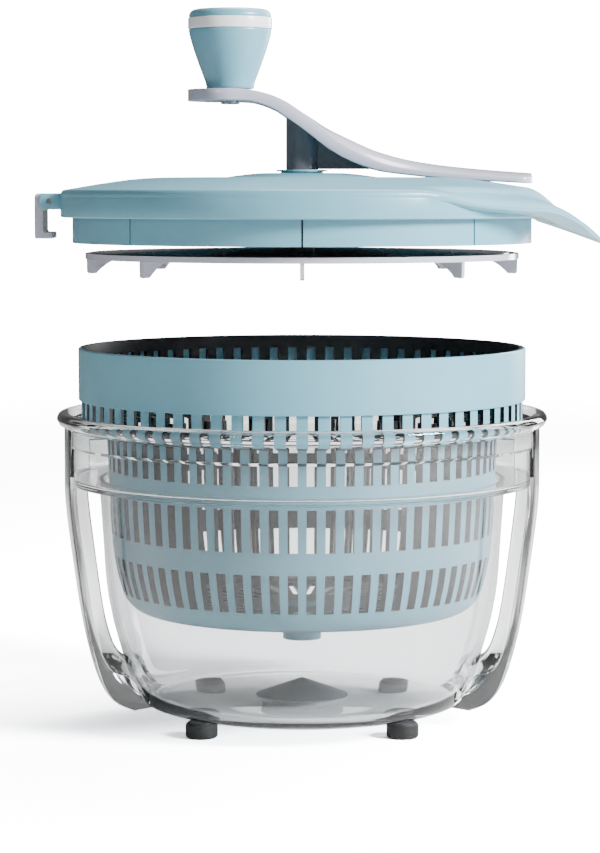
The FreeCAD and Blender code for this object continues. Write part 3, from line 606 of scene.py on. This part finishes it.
class SPINNER_OT_basket(bpy.types.Operator):
    """Adds the basket's inner ribs, and finishes the slotted basket, its band and its pivot cap"""

    bl_idname = "spinner.basket"
    bl_label = "Basket"

    def execute(self, context):
        placed(as_object("inner_ribs", ribs_shape()), material("basket_polypropylene_painted_shade"), "basket")
        finished(material("basket_polypropylene_painted_shade"), "basket")
        finished(material("shell_polypropylene"), "basket_band")
        finished(material("natural_acetal"), "pivot_cap")
        return {"FINISHED"}


# ---------------------------------------------------------------- lid

# (radius, height)
DOME = [
    (12, 312.6), (24, 312.9), (38, 311.4), (54, 309.3), (68, 309.8), (81, 310.4), (98, 309.2), (115, 306.8),
    (127, 304.8), (134, 303.6),
]
# (x, height) of the beak's lip
BEAK_EDGE = [
    (55, 303.2), (68.4, 300.4), (79, 298.2), (94.6, 295.9), (110.4, 294.5), (118.4, 294.1), (134.4, 293.2),
    (142.8, 290.9), (151.7, 287.0), (161.3, 280.6), (170.5, 274.9),
]
# (share of the way out, share of the fall from the dome to the lip)
BEAK_FALL = [
    (0, 0), (0.13, 0.03), (0.247, 0.115), (0.355, 0.248), (0.47, 0.41), (0.62, 0.545), (0.825, 0.75), (1, 1),
]
DOME_RINGS = (12.0, 16, 20, 24, 31, 38, 46, 54, 61, 68, 74, 81, 89, 98, 106, 115)
FALL_START = 122.0
BAND_LOW = 288.0
SHOULDER_ROUND = 2.6
LID_SKIN = 2.5
# the hull under the beak stays this high over the bowl's rim, out to this radius, so that the lid closes
OVER_RIM = 288.7
RIM_REACH = 143.5


def smoothstep(x):
    x = min(max(x, 0.0), 1.0)
    return x * x * (3 - 2 * x)


def lid_section(angle):
    """The lid's section at an angle from the beak's tip, as (radius, height) points."""
    s = sizes()
    band, share = s.lid_radius / MM, abs(angle) / s.beak_half_angle
    bulge = math.cos(math.pi / 2 * share) ** 2 if share < 1.0 else 0.0
    edge = band + (s.beak_reach / MM - 0.05 - band) * bulge
    in_beak = smoothstep((1.03 - share) / 0.25)
    lip = curved(BEAK_EDGE, edge * math.cos(angle))
    section = [(12.0, 301.0), (12.0, 306.0)]
    section += [(radius, curved(DOME, radius)) for radius in DOME_RINGS]
    start = curved(DOME, FALL_START)
    for k in range(17):
        u = k / 16.0
        radius = FALL_START + (edge - FALL_START) * u
        over = max(radius - (band - SHOULDER_ROUND), 0.0)
        plain = curved(DOME, min(radius, band - SHOULDER_ROUND))
        plain -= SHOULDER_ROUND - math.sqrt(max(SHOULDER_ROUND ** 2 - min(over, SHOULDER_ROUND) ** 2, 0.0))
        fallen = start + (lip - start) * curved(BEAK_FALL, u)
        section.append((radius, plain + (fallen - plain) * in_beak))
    top = section[-1][1]
    section += [(edge - 0.05, top - 0.7 - 0.2 * in_beak), (edge - 0.1 - 0.5 * in_beak, top - 2.0)]
    lip_r, lip_z = section[-1]
    low = BAND_LOW + 1.5
    root = min(low + (top - 2.4 - low) * smoothstep(share) ** 0.8, lip_z + 17.0)
    for k in range(1, 9):
        u = k / 8.0
        sag = 1.2 * math.sin(math.pi * u) * bulge
        radius, height = lip_r + (band - lip_r) * u, lip_z + (root - lip_z) * u - sag
        section.append((radius, max(height, OVER_RIM) if radius < RIM_REACH else height))
    section += [(band, (root + BAND_LOW + 0.8) / 2.0), (band, BAND_LOW + 0.8), (band - 0.3, BAND_LOW + 0.2),
                (band - 0.9, BAND_LOW), (band - LID_SKIN + 0.5, BAND_LOW), (band - LID_SKIN, BAND_LOW + 0.5),
                (band - LID_SKIN, 301.5), (75.0, 305.6), (15.0, 309.9), (15.0, 301.0)]
    return section


def lid_shape():
    """The lid's shell as one closed skin, with the beak drawn out of its front edge."""
    steps = sizes().round_steps + 64
    shape = bmesh.new()
    rings = []
    for k in range(steps):
        angle = math.pi * (2.0 * k / steps - 1.0)
        section = lid_section(angle)
        rings.append([shape.verts.new(around(angle, radius, height)) for radius, height in section])
    for one, two in zip(rings, rings[1:] + rings[:1]):
        loop_faces(shape, one, two)
    bmesh.ops.recalc_face_normals(shape, faces=shape.faces)
    return shape


def lug_shape(side):
    """One of the two lugs that hold the latch pin."""
    outline = filleted([(-134.5, 292.4, 0), (-146.5, 292.4, 3.5), (-147.9, 297.0, 3.5), (-146.5, 301.6, 3.5),
                        (-134.5, 301.6, 0)])
    lug = bar(outline, 1.5, 0.4)
    bmesh.ops.translate(lug, verts=lug.verts, vec=(0.0, side * 16.9 * MM, 0.0))
    return lug


class SPINNER_OT_lid(bpy.types.Operator):
    """Adds the lid's shell with its beak and latch lugs, and finishes what hangs under it"""

    bl_idname = "spinner.lid"
    bl_label = "Lid"

    def execute(self, context):
        shell = as_object("lid_moulding", merged(lid_shape(), lug_shape(-1), lug_shape(1)), 50.0)
        placed(shell, material("shell_polypropylene"), "lid", ["lid_shell"])
        finished(material("shell_polypropylene"), "lid_skirt", "crank_bush")
        finished(material("slate_polypropylene"), "gear_plate")
        finished(material("natural_acetal"), "planet_gear_1", "planet_gear_2", "planet_gear_3")
        finished(material("turned_stainless"), "planet_pins", "plate_screws", "latch_pin")
        return {"FINISHED"}


class SPINNER_OT_latch(bpy.types.Operator):
    """Adds the latch that hooks under the bowl's rim"""

    bl_idname = "spinner.latch"
    bl_label = "Latch"

    def execute(self, context):
        outline = filleted([
            (-150.5, 276.0, 1.0), (-140.6, 276.0, 0.8), (-140.6, 279.8, 0.8), (-145.5, 279.8, 1.0),
            (-145.5, 292.4, 0.8), (-139.5, 292.9, 3.0), (-137.4, 297.0, 4.0), (-139.4, 301.4, 3.5),
            (-150.5, 301.6, 2.2),
        ])
        latch = as_object("latch_hook", bar(outline, 15.0, 0.6))
        placed(latch, material("lilac_abs"), "latch", ["latch"])
        return {"FINISHED"}


# ---------------------------------------------------------------- crank

# (x, height)
ARM_TOP = [
    (-64.6, 360.0), (-50, 360.0), (-36, 359.9), (-21.7, 357.7), (-9.7, 353.1), (2.5, 344.8), (18.5, 331.9),
    (30.5, 324.6), (42.5, 319.2), (56, 315.9), (76.6, 313.5), (100.6, 311.7), (130, 310.4),
]
ARM_UNDER = [
    (-64.6, 353.3), (-50, 353.3), (-34, 353.2), (-25.7, 352.2), (-15.2, 348.2), (-8, 343.4), (2.3, 336.0),
    (14.3, 326.7), (26.3, 319.9), (41.7, 314.6), (56, 312.3), (76.6, 310.3), (100.6, 308.7), (130, 307.1),
]
# (x, half the width)
ARM_HALF = [(-40.6, 24.0), (-15, 22.0), (15, 19.5), (50, 21.0), (90, 24.0), (118, 25.0)]
# (x, share of the full crown)
ARM_CROWN = [
    (-64.6, 0.0), (-6, 0.0), (10, 0.35), (24, 0.85), (44, 1.0), (60, 0.85), (76, 0.7), (100, 0.58),
    (130, 0.42),
]
PAD_RADIUS = 24.0
PAD_CENTRE = -40.6
TAIL_START = 118.0
TAIL_BLUNT = 3.6
TAIL_END = 130.0


def arm_half_width(x):
    if x < PAD_CENTRE:
        return math.sqrt(max(PAD_RADIUS ** 2 - (x - PAD_CENTRE) ** 2, 0.0))
    if x > TAIL_START:
        along = (x - TAIL_START) / (TAIL_END - TAIL_START)
        return ARM_HALF[-1][1] * max(1.0 - along ** TAIL_BLUNT, 0.0) ** (1.0 / TAIL_BLUNT)
    return curved(ARM_HALF, x)


def arm_section(x):
    """The arm's section: flat underneath, rounded side bands and a crowned top."""
    half = max(arm_half_width(x), 0.6)
    top, under = curved(ARM_TOP, x), curved(ARM_UNDER, x)
    crown = curved(ARM_CROWN, x) * sizes().arm_crown / MM
    side = min(0.9, half * 0.4)
    points = []
    for k in range(17):
        y = -1.0 + 2.0 * k / 16.0
        lift = crown * (1.0 - abs(y) ** 2.4)
        points.append((x, y * (half - side), top + lift))
    points += [(x, half - side * 0.3, top - side * 0.3), (x, half, top - side)]
    points += [(x, half, under + side), (x, half - side * 0.3, under + side * 0.3)]
    points += [(x, (1.0 - 2.0 * k / 8.0) * (half - side), under) for k in range(9)]
    points += [(x, -half + side * 0.3, under + side * 0.3), (x, -half, under + side)]
    points += [(x, -half, top - side), (x, -half + side * 0.3, top - side * 0.3)]
    return points


class SPINNER_OT_crank(bpy.types.Operator):
    """Adds the swept crank arm and finishes its post, gear and fixings"""

    bl_idname = "spinner.crank"
    bl_label = "Crank"

    def execute(self, context):
        places = [PAD_CENTRE - PAD_RADIUS * math.cos(math.pi / 2 * k / 14.0) for k in range(14)]
        places += [PAD_CENTRE + (TAIL_START - PAD_CENTRE) * k / 70.0 for k in range(70)]
        places += [TAIL_START + (TAIL_END - TAIL_START) * math.sin(math.pi / 2 * k / 12.0) for k in range(13)]
        arm = as_object("swept_arm", lofted([arm_section(x) for x in places]))
        placed(arm, material("lilac_abs"), "crank", ["crank_arm"])
        # the crank post takes the painted shade grey
        finished(material("post_abs_painted_shade"), "crank_post")
        finished(material("natural_acetal"), "ring_gear")
        finished(material("turned_stainless"), "crank_screw", "knob_axle", "knob_clip")
        return {"FINISHED"}


KNOB_LOW = 360.3
KNOB_STEPS = 96
CAP_DOME = [(23.3, 0.6), (22.9, 2.4), (21.0, 4.1), (17.5, 4.7), (9.0, 4.93)]
KNOB_FLARE = [(13.6, 1.2), (14.2, 4.0), (15.9, 8.6), (18.1, 14.6), (20.6, 21.8), (22.6, 28.6), (23.45, 32.6)]


class SPINNER_OT_knob(bpy.types.Operator):
    """Adds the flared knob with its white ring and cap"""

    bl_idname = "spinner.knob"
    bl_label = "Knob"

    def execute(self, context):
        centre = (PAD_CENTRE, 0.0)
        flare = [(r, KNOB_LOW + z) for r, z in smoothed(KNOB_FLARE)]
        grip = [(3.1, KNOB_LOW), (12.9, KNOB_LOW), (13.4, KNOB_LOW + 0.4)] + flare
        hollow = [(23.2, 33.3), (19.0, 33.4), (19.0, 39.9), (8.0, 39.9), (8.0, 28.8), (3.1, 28.8)]
        grip += [(radius, KNOB_LOW + height) for radius, height in hollow]
        placed(as_object("flared_grip", turned(grip, centre, KNOB_STEPS)), material("shell_polypropylene"),
               "knob", ["knob_grip"])
        low = KNOB_LOW + 33.45
        ring = filleted([(19.05, low, 0), (23.8, low, 0.7), (23.8, low + 6.4, 0.7), (19.05, low + 6.4, 0)])
        placed(as_object("white_ring", turned(ring, centre, KNOB_STEPS)), material("white_abs"),
               "knob", ["knob_ring"])
        low = KNOB_LOW + 39.95
        dome = smoothed([(radius, low + height) for radius, height in CAP_DOME])
        cap = [(0, low - 3.0), (7.9, low - 3.0), (7.9, low), (23.0, low)] + dome + [(0, low + 4.98)]
        placed(as_object("domed_cap", turned(cap, centre, KNOB_STEPS)), material("shell_polypropylene"),
               "knob", ["knob_cap"])
        return {"FINISHED"}


class SPINNER_OT_drive(bpy.types.Operator):
    """Finishes the drive disc, its cover, sun gear and screw"""

    bl_idname = "spinner.drive"
    bl_label = "Drive disc"

    def execute(self, context):
        finished(material("lilac_abs"), "drive_disc")
        # the disc cover's near-black is painted shade
        finished(material("cover_abs_painted_shade"), "disc_cover")
        finished(material("natural_acetal"), "sun_gear")
        finished(material("turned_stainless"), "rotor_screw")
        return {"FINISHED"}


# ---------------------------------------------------------------- stage

CAMERA_DISTANCE = 1.5272
CAMERA_HEIGHT = 0.3030
CAMERA_PITCH = 5.027
CAMERA_SIDE = -0.00114
CAMERA_LENS = 113.17
LAMPS = {
    # name: (place, aimed at, width and height, watts)
    "key": ((1.35, -0.75, 0.95), (0.0, 0.0, 0.2), (0.45, 0.45), 104.0),
    "top": ((0.25, 0.55, 1.5), (0.0, 0.0, 0.25), (0.9, 0.6), 24.0),
    "fill_front": ((-1.0, -1.6, 0.9), (0.0, 0.0, 0.2), (0.35, 0.35), 3.5),
    "back_right": ((0.9, 1.2, 0.7), (0.0, 0.0, 0.2), (0.3, 1.2), 22.0),
}
# how bright the white surround is as a light, seen through the clear plastic, and seen directly
SURROUND = (0.2, 2.6, 18.0)
# how much brighter the floor looks than it is as a bounce of light, in the same three cases
FLOOR_GAIN = (1.0, 1.5, 8.5)
# metres from the spin axis where the floor begins and ends its fade into the surround
FADE_FROM = 0.8
FADE_TO = 2.6


def by_view(tree, as_light, through, direct):
    """A value with one size for bounced light, one through the clear plastic, and one seen directly."""
    ray = add(tree, "ShaderNodeLightPath")
    bounces = add(tree, "ShaderNodeMath", {"operation": "ADD"})
    tree.links.new(ray.outputs["Diffuse Depth"], bounces.inputs[0])
    tree.links.new(ray.outputs["Glossy Depth"], bounces.inputs[1])
    none_yet = add(tree, "ShaderNodeMath", {"operation": "LESS_THAN"})
    tree.links.new(bounces.outputs["Value"], none_yet.inputs[0])
    none_yet.inputs[1].default_value = 0.5
    passed = add(tree, "ShaderNodeMath", {"operation": "MULTIPLY"})
    tree.links.new(ray.outputs["Is Transmission Ray"], passed.inputs[0])
    tree.links.new(none_yet.outputs["Value"], passed.inputs[1])
    unseen = add(tree, "ShaderNodeMapRange", {"To Min": as_light, "To Max": through},
                 Value=passed.outputs["Value"])
    seen = add(tree, "ShaderNodeMapRange", {"To Max": direct}, Value=ray.outputs["Is Camera Ray"],
               To_Min=unseen.outputs["Result"])
    return seen.outputs["Result"]


class SPINNER_OT_stage(bpy.types.Operator):
    """Adds the pale floor, the studio's soft light and the camera"""

    bl_idname = "spinner.stage"
    bl_label = "Stage"

    def execute(self, context):
        scene = context.scene
        world = bpy.data.worlds.new("studio")
        scene.world = world
        world.use_nodes = True
        tree = world.node_tree
        background = tree.nodes["Background"]
        background.inputs["Color"].default_value = (1.0, 1.0, 1.0, 1.0)
        tree.links.new(by_view(tree, *SURROUND), background.inputs["Strength"])

        shape = bmesh.new()
        bmesh.ops.create_circle(shape, cap_ends=True, segments=96, radius=14.0)
        floor = as_object("studio_floor", shape)
        pale, tree, output, place = new_material("pale_floor")
        cloud = uneven(tree, place, colours().floor, 0.004, 400.0)
        lifted = add(tree, "ShaderNodeVectorMath", {"operation": "SCALE"}, Scale=by_view(tree, *FLOOR_GAIN))
        tree.links.new(cloud, lifted.inputs[0])
        near = add(tree, "ShaderNodeBsdfDiffuse", Color=lifted.outputs["Vector"])
        far = add(tree, "ShaderNodeEmission", Strength=by_view(tree, *SURROUND))
        reach = add(tree, "ShaderNodeVectorMath", {"operation": "LENGTH"})
        tree.links.new(place, reach.inputs[0])
        share = add(tree, "ShaderNodeMapRange", {"From Min": FADE_FROM, "From Max": FADE_TO},
                    Value=reach.outputs["Value"])
        fade = add(tree, "ShaderNodeMixShader", Fac=share.outputs["Result"])
        tree.links.new(near.outputs["BSDF"], fade.inputs[1])
        tree.links.new(far.outputs["Emission"], fade.inputs[2])
        tree.links.new(fade.outputs["Shader"], output.inputs["Surface"])
        floor.data.materials.append(pale)

        for name, (place, target, size, watts) in LAMPS.items():
            data = bpy.data.lights.new(name, "AREA")
            data.shape, data.size, data.size_y, data.energy = "RECTANGLE", *size, watts
            lamp = bpy.data.objects.new(name, data)
            aim = Vector(target) - Vector(place)
            lamp.matrix_world = Matrix.Translation(place) @ aim.to_track_quat("-Z", "Y").to_matrix().to_4x4()
            scene.collection.objects.link(lamp)

        data = bpy.data.cameras.new("camera")
        data.lens = CAMERA_LENS
        camera = bpy.data.objects.new("camera", data)
        camera.location = (CAMERA_SIDE, -CAMERA_DISTANCE, CAMERA_HEIGHT)
        camera.rotation_euler = (math.radians(90.0 - CAMERA_PITCH), 0.0, 0.0)
        scene.collection.objects.link(camera)
        scene.camera = camera
        return {"FINISHED"}


# ---------------------------------------------------------------- panel and registration

MAKERS = (
    SPINNER_OT_bowl, SPINNER_OT_basket, SPINNER_OT_lid, SPINNER_OT_latch, SPINNER_OT_crank,
    SPINNER_OT_knob, SPINNER_OT_drive, SPINNER_OT_stage,
)


class SPINNER_PT_panel(bpy.types.Panel):
    """Lists the spinner's pieces and sizes"""

    bl_idname = "SPINNER_PT_panel"
    bl_label = "Salad spinner"
    bl_space_type = "VIEW_3D"
    bl_region_type = "UI"
    bl_category = "Spinner"

    def draw(self, context):
        for group in (context.scene.spinner_sizes, context.scene.spinner_colours):
            for name in group.__annotations__:
                self.layout.prop(group, name)
        for maker in MAKERS:
            self.layout.operator(maker.bl_idname)


CLASSES = (SpinnerSizes, SpinnerColours, *MAKERS, SPINNER_PT_panel)


def register():
    for item in CLASSES:
        bpy.utils.register_class(item)
    bpy.types.Scene.spinner_sizes = bpy.props.PointerProperty(type=SpinnerSizes)
    bpy.types.Scene.spinner_colours = bpy.props.PointerProperty(type=SpinnerColours)


def unregister():
    del bpy.types.Scene.spinner_colours
    del bpy.types.Scene.spinner_sizes
    for item in reversed(CLASSES):
        bpy.utils.unregister_class(item)


def main():
    """Makes every piece in order."""
    register()
    for maker in MAKERS:
        group, name = maker.bl_idname.split(".")
        getattr(getattr(bpy.ops, group), name)()


if __name__ == "__main__":
    main()
